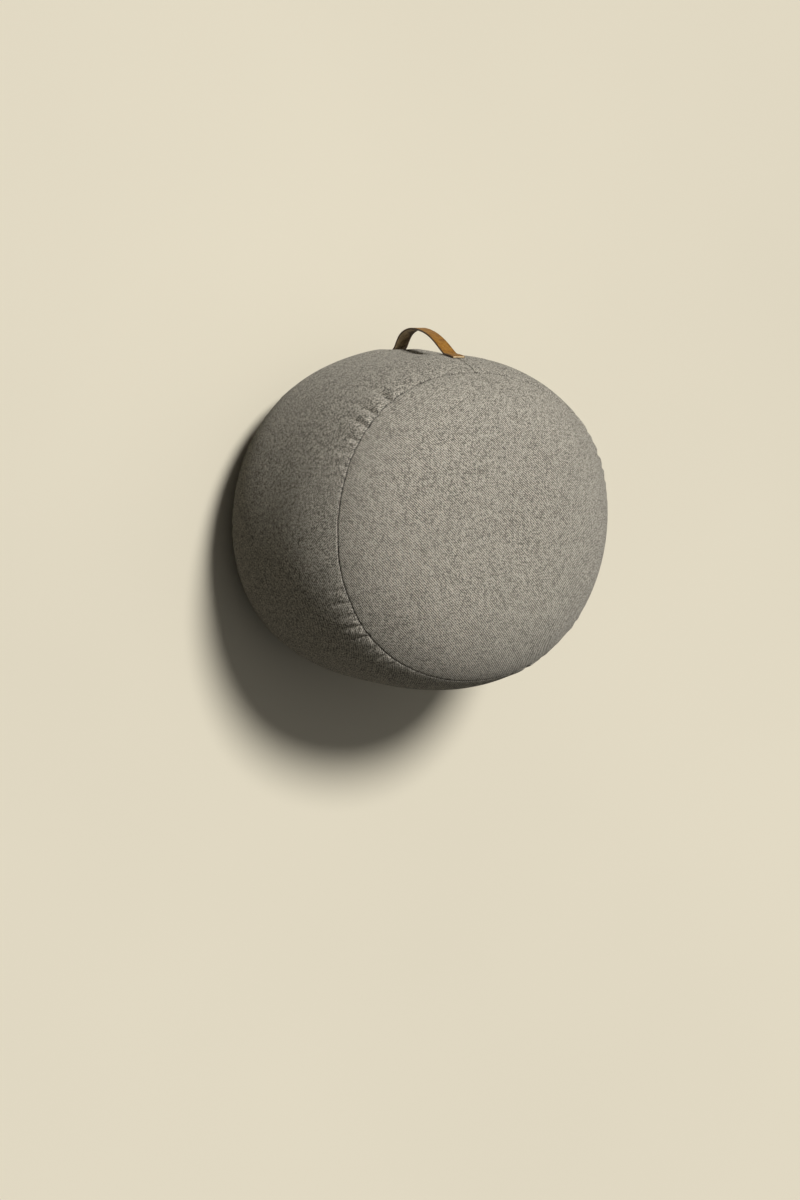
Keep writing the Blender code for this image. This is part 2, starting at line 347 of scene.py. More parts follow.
@dataclass(frozen=True)
class Unevenness:
    """Soft dents and swellings that the filling leaves in a cover."""

    seed: int
    count: int = 26
    size: float = 0.0011
    spread: tuple[float, float] = (0.022, 0.060)
    body_radius: float = 0.25
    body_middle: float = 0.19
    body_half_height: float = 0.20

    def insets(self, points: Array) -> Array:
        """Gives the depths of the dents at points of the body, negative for swellings."""
        draw = np.random.default_rng(self.seed)
        total = np.zeros(points.shape[:-1])
        for _ in range(self.count):
            azimuth, rise = draw.uniform(0, TAU), draw.uniform(-1, 1)
            out = self.body_radius * math.sqrt(1 - rise * rise)
            height = self.body_middle + self.body_half_height * rise
            middle = np.array((out * math.cos(azimuth), out * math.sin(azimuth), height))
            spread = draw.uniform(*self.spread)
            away = ((points - middle) ** 2).sum(axis=-1) / spread ** 2
            total += draw.uniform(-1.0, 1.0) * np.exp(-away / 2)
        return self.size * total


@dataclass
class SkinMaker:
    """Collects rings of points and the faces between them, with the fabric's coordinates on each corner."""

    points: list[Array] = field(default_factory=list)
    faces: list[tuple[int, ...]] = field(default_factory=list)
    corners: list[tuple[float, float]] = field(default_factory=list)
    finishes: list[int] = field(default_factory=list)
    count: int = 0

    def ring(self, points: Array, weave: Array) -> Ring:
        """Adds one closed ring.

        Args:
            points: Its points, one row each.
            weave: Their coordinates on the fabric, with one more row for coming back to the first.

        Returns:
            The ring's point numbers and fabric coordinates.
        """
        numbers = np.arange(self.count, self.count + len(points))
        self.points.append(points)
        self.count += len(points)
        return numbers, weave

    def face(self, numbers: Sequence[int], weave: Sequence[Array], finish: int = 0) -> None:
        """Adds one face with its fabric coordinates."""
        self.faces.append(tuple(int(number) for number in numbers))
        self.corners.extend((float(place[0]), float(place[1])) for place in weave)
        self.finishes.append(finish)

    def bridge(self, first: Ring, second: Ring) -> None:
        """Joins two rings that have as many points, or of which one has three times as many."""
        flip = len(first[0]) < len(second[0])
        (wide, wide_weave), (narrow, narrow_weave) = (second, first) if flip else (first, second)
        ratio = len(wide) // len(narrow)
        for index in range(len(narrow)):
            following = (index + 1) % len(narrow)
            span = [(wide[(index * ratio + step) % len(wide)], wide_weave[index * ratio + step])
                    for step in range(ratio + 1)]
            near = (narrow[index], narrow_weave[index])
            far = (narrow[following], narrow_weave[index + 1])
            if ratio == 1:
                loops = [[span[0], span[1], far, near]]
            else:
                loops = [[span[0], span[1], near], [span[1], span[2], far, near], [span[2], span[3], far]]
            for loop in loops:
                ordered = loop[::-1] if flip else loop
                self.face([corner[0] for corner in ordered], [corner[1] for corner in ordered])

    def close(self, ring: Ring, point: Array, weave: Array, turned: bool = False) -> None:
        """Closes a ring with triangles to one point."""
        numbers, places = ring
        centre, _ = self.ring(point[None, :], weave[None, :])
        for index in range(len(numbers)):
            loop = [(numbers[index], places[index]),
                    (numbers[(index + 1) % len(numbers)], places[index + 1]), (centre[0], weave)]
            ordered = loop[::-1] if turned else loop
            self.face([corner[0] for corner in ordered], [corner[1] for corner in ordered])

    def build(self, name: str, materials: Sequence[bpy.types.Material]) -> bpy.types.Object:
        """Makes the smooth shaded object.

        Args:
            name: The piece's name.
            materials: Its materials, in the order of the faces' finish numbers.

        Returns:
            The new object, linked to the scene.
        """
        mesh = bpy.data.meshes.new(name)
        mesh.from_pydata(np.concatenate(self.points).tolist(), [], self.faces)
        layer = mesh.uv_layers.new(name=UV_NAME)
        layer.data.foreach_set("uv", np.array(self.corners, np.float32).ravel())
        mesh.polygons.foreach_set("material_index", np.array(self.finishes, np.int32))
        for material in materials:
            mesh.materials.append(material)
        mesh.validate()
        skin = bmesh.new()
        skin.from_mesh(mesh)
        bmesh.ops.recalc_face_normals(skin, faces=skin.faces)
        skin.to_mesh(mesh)
        skin.free()
        mesh.shade_smooth()
        obj = bpy.data.objects.new(name, mesh)
        bpy.context.scene.collection.objects.link(obj)
        return obj


@dataclass(frozen=True)
class Sewing:
    """What shapes the covers at one seam: the seam's own line and the gathers on the band and the panel."""

    seam: Seam
    line: SeamLine
    band: Gathers
    panel: Gathers
    tuck_reach: float = 0.0070

    def tucks(self, angle: Array, distance: float) -> Array:
        """Gives how the panel beside the seam follows the folds of the band at the seam itself."""
        return self.band.insets(angle, 0.0) * math.exp(-distance / self.tuck_reach)


@dataclass(frozen=True)
class SideBand:
    """The band around the side, sewn to both round panels and joined end to end behind the strap."""

    form: PoufForm
    sewings: tuple[Sewing, Sewing]
    unevenness: Unevenness
    columns: int = 1188
    join_density: float = 3.5
    join_spread: float = 0.030
    inner_step: float = 0.0062
    join_depth: float = 0.0007
    join_half_width: float = 0.0045
    join_groove: float = 0.0017
    join_groove_half_width: float = 0.00085
    even_reach: float = 0.030
    even_turn: float = 0.060
    near_rows: tuple[float, ...] = (
        0.0, 0.0003, 0.0006, 0.0010, 0.0017, 0.0028, 0.0042, 0.0060, 0.0080, 0.0102,
        0.0126, 0.0150, 0.0176, 0.0204, 0.0234, 0.0266, 0.0300, 0.0340, 0.0385,
    )

    def angles(self) -> Array:
        """Gives the columns' angles, from the join around to it again, with finer steps at the join."""
        turns = np.linspace(0.0, TAU, 20001)
        away = np.minimum(turns, TAU - turns) / self.join_spread
        density = 1 + self.join_density * np.exp(-(away ** 2))
        passed = np.concatenate(([0.0], np.cumsum((density[1:] + density[:-1]) / 2)))
        even = np.arange(self.columns) / self.columns * passed[-1]
        return self.form.join_at + np.interp(even, passed, turns)

    def rows(self) -> list[tuple[float, Seam]]:
        """Gives the rows, as distances from the nearer seam."""
        middle = self.form.seam_length
        count = round((2 * middle - 2 * self.near_rows[-1]) / self.inner_step)
        inner = np.linspace(self.near_rows[-1], 2 * middle - self.near_rows[-1], count + 1)[1:-1]
        upper = [(distance, Seam.TOP) for distance in self.near_rows]
        upper += [(float(at), Seam.TOP) for at in inner if at <= middle]
        lower = [(float(2 * middle - at), Seam.BASE) for at in inner if at > middle]
        return upper + lower + [(distance, Seam.BASE) for distance in reversed(self.near_rows)]

    def join_insets(self, angle: Array) -> Array:
        """Gives the depth of the seam that joins the band's two ends."""
        sideways = self.form.radius * np.sin(angle - self.form.join_at)
        depth = self.join_depth * np.exp(-((sideways / self.join_half_width) ** 2))
        depth += self.join_groove * np.exp(-((sideways / self.join_groove_half_width) ** 2))
        return np.where(np.cos(angle - self.form.join_at) > 0, depth, 0.0)

    def row_points(self, angle: Array, distance: float, seam: Seam) -> Array:
        """Gives the points of one row of the cover.

        Args:
            angle: The columns' angles.
            distance: Length along the surface from the seam.
            seam: The nearer seam.

        Returns:
            The points, one row each.
        """
        sewing = next(each for each in self.sewings if each.seam is seam)
        turn = self.form.turn_from_seam(-distance + sewing.line.drift(angle, distance), seam)
        inset = sewing.line.insets(distance) + self.join_insets(angle) + sewing.band.insets(angle, distance)
        smooth = self.form.points(angle, turn)
        from_join = 1 - np.cos(angle - self.form.join_at)
        calm = min(distance / self.even_reach, 1.0) * (1 - np.exp(-(from_join / self.even_turn)))
        inset = inset + self.unevenness.insets(smooth) * calm
        points = self.form.points(angle, turn, inset)
        if distance == 0.0:
            points[:, 2] -= seam.value * sewing.line.gap / 2
        return points

    def make(self, wool: bpy.types.Material) -> bpy.types.Object:
        """Builds the cover and its hidden closing faces.

        Args:
            wool: The band's material.

        Returns:
            The new piece.
        """
        angle = self.angles()
        around = np.append(angle - self.form.join_at, TAU) * self.form.radius
        maker = SkinMaker()
        rings = []
        for distance, seam in self.rows():
            up = distance if seam is Seam.TOP else 2 * self.form.seam_length - distance
            weave = np.column_stack([around, np.full(len(around), -up)])
            rings.append(maker.ring(self.row_points(angle, distance, seam), weave))
        for upper, lower in zip(rings, rings[1:]):
            maker.bridge(upper, lower)
        for ring, turned in ((rings[0], True), (rings[-1], False)):
            points = maker.points[0] if turned else maker.points[len(rings) - 1]
            maker.close(ring, points.mean(axis=0), ring[1].mean(axis=0), not turned)
        return maker.build("side_band_cover", [wool])


@dataclass(frozen=True)
class RoundPanel:
    """A round panel, cut flat and pressed out by the filling: the top or the base."""

    form: PoufForm
    sewing: Sewing
    band: SideBand
    unevenness: Unevenness
    name: str
    outer_rows: tuple[float, ...] = (
        0.0, 0.0003, 0.0006, 0.0010, 0.0017, 0.0028, 0.0042, 0.0060, 0.0080, 0.0104, 0.0130, 0.0160, 0.0196,
    )
    middle_step: float = 0.0048
    middle_end: float = 0.1500
    centre_end: float = 0.2150
    flat_end: float = 0.1000
    gather_reach: float = 0.004
    join_reach: float = 0.004
    even_reach: float = 0.030

    def row_points(self, angle: Array, distance: float) -> Array:
        """Gives the points of one row of the cover.

        Args:
            angle: The columns' angles.
            distance: Length along the surface from the seam.

        Returns:
            The points, one row each.
        """
        seam = self.sewing.seam
        drift = self.sewing.line.drift(angle, distance)
        turn = self.form.turn_from_seam(distance + drift, seam)
        inset = self.sewing.line.insets(distance) + self.sewing.tucks(angle, distance)
        inset = inset + self.sewing.panel.insets(angle, distance) * min(distance / self.gather_reach, 1.0)
        inset = inset + self.band.join_insets(angle) * math.exp(-((distance / self.join_reach) ** 2))
        smooth = self.form.points(angle, turn)
        inset = inset + self.unevenness.insets(smooth) * min(distance / self.even_reach, 1.0)
        points = self.form.points(angle, turn, inset)
        if distance == 0.0:
            points[:, 2] += seam.value * self.sewing.line.gap / 2
        return points

    def columns_at(self, distance: float) -> int:
        """Gives the number of columns in a row, which falls towards the axis."""
        if distance <= self.outer_rows[-1]:
            return self.band.columns
        if distance <= self.middle_end:
            return self.band.columns // 3
        return self.band.columns // 9

    def rows(self) -> list[float]:
        """Gives the rows, as distances from the seam."""
        end = self.centre_end if self.sewing.seam is Seam.TOP else self.flat_end
        count = round((end - self.outer_rows[-1]) / self.middle_step)
        return [*self.outer_rows, *np.linspace(self.outer_rows[-1], end, count + 1)[1:]]

    def make(self, wool: bpy.types.Material) -> bpy.types.Object:
        """Builds the cover and its hidden closing faces.

        Args:
            wool: The panel's material.

        Returns:
            The new piece.
        """
        maker = SkinMaker()
        all_angles = self.band.angles()
        rings = []
        for distance in self.rows():
            angle = all_angles[:: self.band.columns // self.columns_at(distance)]
            length = self.form.crown_length - distance
            weave = np.column_stack([length * np.cos(angle), length * np.sin(angle)])
            rings.append(maker.ring(self.row_points(angle, distance), np.vstack([weave, weave[:1]])))
        top = self.sewing.seam is Seam.TOP
        for outer, inner in zip(rings, rings[1:]):
            maker.bridge(*((outer, inner) if not top else (inner, outer)))
        middle = maker.points[0].mean(axis=0)
        maker.close(rings[0], middle, np.zeros(2), top)
        if top:
            centre = self.form.points(np.array(0.0), np.array(math.pi / 2))
        else:
            centre = maker.points[len(rings) - 1].mean(axis=0)
        maker.close(rings[-1], centre, np.zeros(2), not top)
        return maker.build(self.name, [wool])


class NodeTable:
    """Short ways to add the nodes of one material."""

    def __init__(self, name: str) -> None:
        """Starts a material with its shader.

        Args:
            name: The material's name.
        """
        self.material = bpy.data.materials.new(name)
        self.material.use_nodes = True
        self.tree = self.material.node_tree
        self.shader = self.tree.nodes["Principled BSDF"]

    def put(self, socket: bpy.types.NodeSocket, value: object) -> None:
        """Links a socket to another node's output, or sets it to a constant."""
        if isinstance(value, bpy.types.NodeSocket):
            self.tree.links.new(value, socket)
        elif value is not None:
            socket.default_value = value

    def math(self, operation: str, first: object, second: object = None, third: object = None) -> object:
        """Adds a Math node and gives its output."""
        node = self.tree.nodes.new("ShaderNodeMath")
        node.operation = operation
        for socket, value in zip(node.inputs, (first, second, third)):
            self.put(socket, value)
        return node.outputs[0]

    def total(self, first: object, *others: object) -> object:
        """Adds up several values."""
        for other in others:
            first = self.math("ADD", first, other)
        return first

    def vector(self, x: object, y: object, z: object = 0.0) -> object:
        """Combines three values into a vector."""
        node = self.tree.nodes.new("ShaderNodeCombineXYZ")
        for socket, value in zip(node.inputs, (x, y, z)):
            self.put(socket, value)
        return node.outputs[0]

    def weave(self) -> tuple[object, object]:
        """Reads the fabric's coordinates, in metres."""
        place = self.tree.nodes.new("ShaderNodeUVMap")
        place.uv_map = UV_NAME
        parts = self.tree.nodes.new("ShaderNodeSeparateXYZ")
        self.tree.links.new(place.outputs[0], parts.inputs[0])
        return parts.outputs[0], parts.outputs[1]

    def spread(self, value: object, contrast: float) -> object:
        """Gives a value's distance from a half, times the contrast."""
        return self.math("MULTIPLY", self.math("SUBTRACT", value, 0.5), contrast)

    def bend(self, place: object, scale: float, size: float) -> tuple[object, object]:
        """Gives coordinates that wobble a little, as spun yarns do.

        Args:
            place: The coordinates.
            scale: How fast the wobble changes.
            size: How far it goes.

        Returns:
            The first and the second coordinate.
        """
        node = self.tree.nodes.new("ShaderNodeTexNoise")
        self.put(node.inputs["Vector"], place)
        node.inputs["Scale"].default_value = scale
        node.inputs["Detail"].default_value = 1.0
        move = self.tree.nodes.new("ShaderNodeVectorMath")
        move.operation = "MULTIPLY_ADD"
        self.put(move.inputs[0], node.outputs["Color"])
        move.inputs[1].default_value = (2 * size, 2 * size, 0.0)
        self.put(move.inputs[2], place)
        parts = self.tree.nodes.new("ShaderNodeSeparateXYZ")
        self.put(parts.inputs[0], move.outputs[0])
        return parts.outputs[0], parts.outputs[1]

    def noise(self, place: object, scale: float, detail: float = 2.0, rough: float = 0.5) -> object:
        """Adds smooth noise and gives its value."""
        node = self.tree.nodes.new("ShaderNodeTexNoise")
        self.put(node.inputs["Vector"], place)
        node.inputs["Scale"].default_value = scale
        node.inputs["Detail"].default_value = detail
        node.inputs["Roughness"].default_value = rough
        return node.outputs[0]

    def draw(self, place: object) -> object:
        """Adds a white noise, one value for each different vector."""
        node = self.tree.nodes.new("ShaderNodeTexWhiteNoise")
        node.noise_dimensions = "3D"
        self.put(node.inputs["Vector"], place)
        return node.outputs["Value"]

    def ramp(self, value: object, stops: Sequence[tuple[float, tuple[float, float, float]]]) -> object:
        """Adds a colour ramp and gives its colour."""
        node = self.tree.nodes.new("ShaderNodeValToRGB")
        self.put(node.inputs[0], value)
        elements = node.color_ramp.elements
        while len(elements) < len(stops):
            elements.new(1.0)
        for element, (position, colour) in zip(elements, stops):
            element.position = position
            element.color = (*colour, 1.0)
        return node.outputs[0]

    def mix(self, share: object, first: object, second: object, blend: str = "MIX") -> object:
        """Mixes two colours."""
        node = self.tree.nodes.new("ShaderNodeMix")
        node.data_type = "RGBA"
        node.blend_type = blend
        self.put(node.inputs[0], share)
        self.put(node.inputs[6], first)
        self.put(node.inputs[7], second)
        return node.outputs[2]

    def pick(self, share: object, first: object, second: object) -> object:
        """Gives the first value where share is 0 and the second where it is 1."""
        node = self.tree.nodes.new("ShaderNodeMix")
        node.data_type = "FLOAT"
        self.put(node.inputs[0], share)
        self.put(node.inputs[2], first)
        self.put(node.inputs[3], second)
        return node.outputs[0]

    def bump(self, height: object, distance: float, strength: float) -> None:
        """Adds a bump and links it to the shader's normal."""
        node = self.tree.nodes.new("ShaderNodeBump")
        node.inputs["Strength"].default_value = strength
        node.inputs["Distance"].default_value = distance
        self.put(node.inputs["Height"], height)
        self.tree.links.new(node.outputs[0], self.shader.inputs["Normal"])


class Cut(Enum):
    """How a cover is cut: a straight strip with a seam along both sides, or a round with one around it."""

    STRIP = "strip"
    ROUND = "round"


@dataclass(frozen=True)
class WoolTwill:
    """Grey melange wool in a two-over-two twill: light and dark fibres spun together, then woven.

    Contrasts are shares of the way from the dark to the light fibres. Scales count for a metre of cloth.
    """

    name: str
    cut: Cut
    size: float
    strip_length: float = 0.0
    pitch: float = 0.00095
    dark: tuple[float, float, float] = (0.055, 0.051, 0.042)
    middle: tuple[float, float, float] = (0.308, 0.285, 0.239)
    light: tuple[float, float, float] = (0.66, 0.618, 0.530)
    contrast: float = 0.86
    float_contrast: float = 1.14
    line_contrast: float = 0.80
    yarn_contrast: float = 0.26
    yarn_stretch: float = 0.20
    fibre_contrast: float = 0.10
    fibre_scale: float = 2600.0
    fibre_relief: float = 0.35
    patch_contrast: float = 0.20
    patch_scale: float = 55.0
    streak_contrast: float = 0.16
    streak_scale: float = 14.0
    streak_stretch: float = 9.0
    # Painted light and shade on the weave: yarn crowns lighter, hollows between the yarns darker.
    painted_hollow_shade: float = 0.30
    painted_hollow_offset: float = -0.21
    wobble: float = 0.00024
    wobble_scale: float = 1100.0
    relief: float = 0.00038
    relief_strength: float = 0.80
    roughness: float = 0.84
    roughness_spread: float = 0.14
    specular: float = 0.18
    sheen: float = 0.22
    sheen_roughness: float = 0.45
    sheen_tint: tuple[float, float, float, float] = (1.0, 0.96, 0.88, 1.0)
    # Painted shade along the seams: the share of the colour kept in the groove's line, with its width and
    # fade.
    painted_groove_shade: float = 0.40
    seam_half_width: float = 0.00050
    seam_fade: float = 0.00070

    def seam_distance(self, table: NodeTable, across: object, along: object) -> object:
        """Gives the distance from the nearest seam on the flat fabric.

        Args:
            table: The material's nodes.
            across: The first coordinate on the fabric.
            along: The second coordinate.

        Returns:
            The distance, in metres.
        """
        if self.cut is Cut.ROUND:
            across_square = table.math("MULTIPLY", across, across)
            along_square = table.math("MULTIPLY", along, along)
            out = table.math("SQRT", table.total(across_square, along_square))
            return table.math("ABSOLUTE", table.math("SUBTRACT", self.size, out))
        upper = table.math("ABSOLUTE", along)
        lower = table.math("ABSOLUTE", table.math("ADD", along, self.size))
        first = table.math("ABSOLUTE", across)
        last = table.math("ABSOLUTE", table.math("SUBTRACT", across, self.strip_length))
        ends = table.math("MINIMUM", first, last)
        return table.math("MINIMUM", table.math("MINIMUM", upper, lower), ends)

    def yarn_shade(self, table: NodeTable, number: object, along: object, layer: float) -> object:
        """Gives the shade of one yarn, which changes slowly along it.

        Args:
            table: The material's nodes.
            number: The yarn's number.
            along: The place along it, in pitches.
            layer: A number that differs between warp and weft.

        Returns:
            The shade.
        """
        place = table.vector(number, table.math("MULTIPLY", along, self.yarn_stretch), layer)
        return table.noise(place, 1.0, 1.0)

    def paint_groove_shade(self, table: NodeTable, colour: object, across: object, along: object) -> object:
        """Darkens a thin line where the fabric turns in at a seam: painted shade for the groove's shadow.

        Args:
            table: The material's nodes.
            colour: The wool's colour.
            across: The first coordinate on the fabric.
            along: The second coordinate.

        Returns:
            The colour with the line of painted shade.
        """
        away = table.math("SUBTRACT", self.seam_distance(table, across, along), self.seam_half_width)
        away = table.math("MAXIMUM", table.math("DIVIDE", away, self.seam_fade), 0.0)
        away = table.math("MINIMUM", away, 1.0)
        # Painted shade: the thin line along each seam is darkened, standing in for the shadow in its groove.
        shaded = table.mix(1.0, colour, (self.painted_groove_shade, self.painted_groove_shade, self.painted_groove_shade, 1.0), "MULTIPLY")
        return table.mix(away, shaded, colour)

    def make(self) -> bpy.types.Material:
        """Builds the material and gives it."""
        table = NodeTable(self.name)
        across, along = table.weave()
        place = table.vector(across, along)
        bent_across, bent_along = table.bend(place, self.wobble_scale, self.wobble)
        warp = table.math("DIVIDE", bent_across, self.pitch)
        weft = table.math("DIVIDE", bent_along, self.pitch)
        warp_number = table.math("FLOOR", warp)
        weft_number = table.math("FLOOR", weft)
        diagonal = table.math("ADD", warp_number, weft_number)
        step = table.math("FLOORED_MODULO", diagonal, 4.0)
        weft_shows = table.math("GREATER_THAN", step, 1.5)
        run = table.math("FLOOR", table.math("DIVIDE", diagonal, 4.0))
        yarn = table.pick(weft_shows, warp_number, weft_number)
        shade = table.draw(table.vector(yarn, run, table.math("MULTIPLY", weft_shows, 3.7)))

        warp_place = table.math("FRACT", warp)
        weft_place = table.math("FRACT", weft)
        side = table.pick(weft_shows, warp_place, weft_place)
        warp_run = table.math("FLOORED_MODULO", table.math("ADD", warp_number, weft), 4.0)
        weft_run = table.math("FLOORED_MODULO", table.math("ADD", warp, weft_number), 4.0)
        weft_run = table.math("SUBTRACT", weft_run, 2.0)
        length = table.math("DIVIDE", table.pick(weft_shows, warp_run, weft_run), 2.0)
        round_side = table.math("MULTIPLY", side, table.math("SUBTRACT", 1.0, side))
        round_length = table.math("MULTIPLY", length, table.math("SUBTRACT", 1.0, length))
        round_side = table.math("POWER", table.math("MULTIPLY", round_side, 4.0), 0.5)
        round_length = table.math("POWER", table.math("MULTIPLY", round_length, 4.0), 0.6)
        height = table.math("MULTIPLY", round_side, table.math("MULTIPLY_ADD", round_length, 0.5, 0.5))

        warp_yarn = self.yarn_shade(table, table.math("MULTIPLY", warp_number, 7.31), weft, 0.0)
        weft_yarn = self.yarn_shade(table, table.math("MULTIPLY", weft_number, 5.17), warp, 9.0)
        spun = table.pick(weft_shows, warp_yarn, weft_yarn)
        fibres = table.noise(place, self.fibre_scale, 2.0, 0.6)
        patches = table.noise(place, self.patch_scale, 3.0, 0.6)
        drawn_out = table.vector(table.math("MULTIPLY", across, self.streak_stretch), along)
        streaks = table.noise(drawn_out, self.streak_scale, 3.0, 0.6)

        value = table.total(
            0.5,
            table.spread(shade, self.contrast * self.float_contrast),
            table.spread(spun, self.contrast * self.yarn_contrast),
            table.spread(weft_shows, self.contrast * self.line_contrast),
            table.spread(fibres, self.fibre_contrast),
            table.spread(patches, self.patch_contrast),
            table.spread(streaks, self.streak_contrast),
            # Painted light and shade: yarns lighter on their crowns and darker in the hollows between them,
            # where shade falls.
            table.math("MULTIPLY_ADD", height, self.painted_hollow_shade, self.painted_hollow_offset),
        )
        colour = table.ramp(value, ((0.05, self.dark), (0.50, self.middle), (0.95, self.light)))
        # The wool's colour, with painted shade along the seams.
        table.put(table.shader.inputs["Base Color"], self.paint_groove_shade(table, colour, across, along))
        rough = table.math("MULTIPLY_ADD", shade, self.roughness_spread, self.roughness)
        table.put(table.shader.inputs["Roughness"], rough)
        table.shader.inputs["Specular IOR Level"].default_value = self.specular
        table.shader.inputs["Sheen Weight"].default_value = self.sheen
        table.shader.inputs["Sheen Roughness"].default_value = self.sheen_roughness
        table.shader.inputs["Sheen Tint"].default_value = self.sheen_tint
        table.bump(table.math("MULTIPLY_ADD", fibres, self.fibre_relief, height), self.relief,
                   self.relief_strength)
        return table.material


@dataclass(frozen=True)
class StrapLeather:
    """Vegetable tanned leather for one face of the strap.

    The colour runs from deep to pale with clouds, flecks and the pull of the hide. Painted shade darkens
    one side across the width, standing in for the strap's own shadow.
    """

    name: str
    colour: tuple[float, float, float]
    deep: tuple[float, float, float]
    pale: tuple[float, float, float]
    roughness: float
    grain: float
    pores: float
    specular: float = 0.32
    sheen: float = 0.0
    # Painted shade across the width: darkens one side, standing in for the strap's own shadow.
    painted_side_shade: float = 0.0
    half_width: float = 0.011
    cloud_scale: float = 130.0
    cloud_contrast: float = 1.6
    fleck_scale: float = 620.0
    fleck_contrast: float = 1.1
    pull_scale: float = 90.0
    pull_stretch: float = 2.6
    pull_contrast: float = 0.5
    wear_power: float = 7.0
    wear_shade: float = -0.22
    crease_width: float = 3.5
    roughness_spread: float = 0.35
    relief: float = 0.00012
    relief_strength: float = 0.6

    def make(self) -> bpy.types.Material:
        """Builds the material and gives it."""
        table = NodeTable(self.name)
        across, along = table.weave()
        place = table.vector(across, along)
        cloud = table.noise(place, self.cloud_scale, 4.0, 0.62)
        flecks = table.noise(place, self.fleck_scale, 3.0, 0.65)
        drawn_out = table.vector(table.math("MULTIPLY", across, self.pull_stretch), along)
        pull = table.noise(drawn_out, self.pull_scale, 3.0, 0.6)
        edge = table.math("ABSOLUTE", table.math("DIVIDE", across, self.half_width))
        worn = table.math("POWER", edge, self.wear_power)
        value = table.total(
            0.5,
            table.spread(cloud, self.cloud_contrast),
            table.spread(flecks, self.fleck_contrast),
            table.spread(pull, self.pull_contrast),
            table.math("MULTIPLY", worn, self.wear_shade),
            # Painted shade: one side is darker across the width, standing in for the shadow that the arch
            # casts on the flesh side.
            table.math("MULTIPLY", across, -self.painted_side_shade / self.half_width),
        )
        colour = table.ramp(value, ((0.10, self.deep), (0.50, self.colour), (0.92, self.pale)))
        table.put(table.shader.inputs["Base Color"], colour)
        cells = table.tree.nodes.new("ShaderNodeTexVoronoi")
        cells.feature = "DISTANCE_TO_EDGE"
        cells.inputs["Scale"].default_value = self.grain
        table.put(cells.inputs["Vector"], place)
        creases = table.math("MINIMUM", table.math("MULTIPLY", cells.outputs[0], self.crease_width), 1.0)
        creases = table.math("SQRT", creases)
        height = table.total(creases, table.math("MULTIPLY", flecks, self.pores))
        from_middle = table.math("SUBTRACT", cloud, 0.5)
        rough = table.math("MULTIPLY_ADD", from_middle, self.roughness_spread, self.roughness)
        table.put(table.shader.inputs["Roughness"], rough)
        table.shader.inputs["Specular IOR Level"].default_value = self.specular
        table.shader.inputs["Sheen Weight"].default_value = self.sheen
        table.bump(height, self.relief, self.relief_strength)
        return table.material


@dataclass(frozen=True)
class Thread:
    """Twisted sewing thread."""

    name: str
    colour: tuple[float, float, float]
    turns_around: float = 9000.0
    turns_along: float = 7000.0
    fuzz_scale: float = 3000.0
    dark_share: float = 0.45
    relief: float = 0.0001

    def make(self) -> bpy.types.Material:
        """Builds the material and gives it."""
        table = NodeTable(self.name)
        across, along = table.weave()
        around = table.math("MULTIPLY", across, self.turns_around)
        twist = table.math("ADD", around, table.math("MULTIPLY", along, self.turns_along))
        strands = table.math("MULTIPLY_ADD", table.math("SINE", twist), 0.5, 0.5)
        fuzz = table.noise(table.vector(across, along), self.fuzz_scale, 2.0, 0.5)
        value = table.total(table.math("MULTIPLY", strands, 0.5), table.math("MULTIPLY", fuzz, 0.5))
        dark = tuple(self.dark_share * part for part in self.colour)
        colour = table.ramp(value, ((0.2, dark), (0.8, self.colour)))
        table.put(table.shader.inputs["Base Color"], colour)
        table.put(table.shader.inputs["Roughness"], table.math("MULTIPLY_ADD", strands, 0.2, 0.6))
        table.bump(strands, self.relief, 0.5)
        return table.material


@dataclass(frozen=True)
class StrapPoint:
    """Point on the strap's middle line: height over the middle plane and distance from the axis."""

    rise: float
    out: float


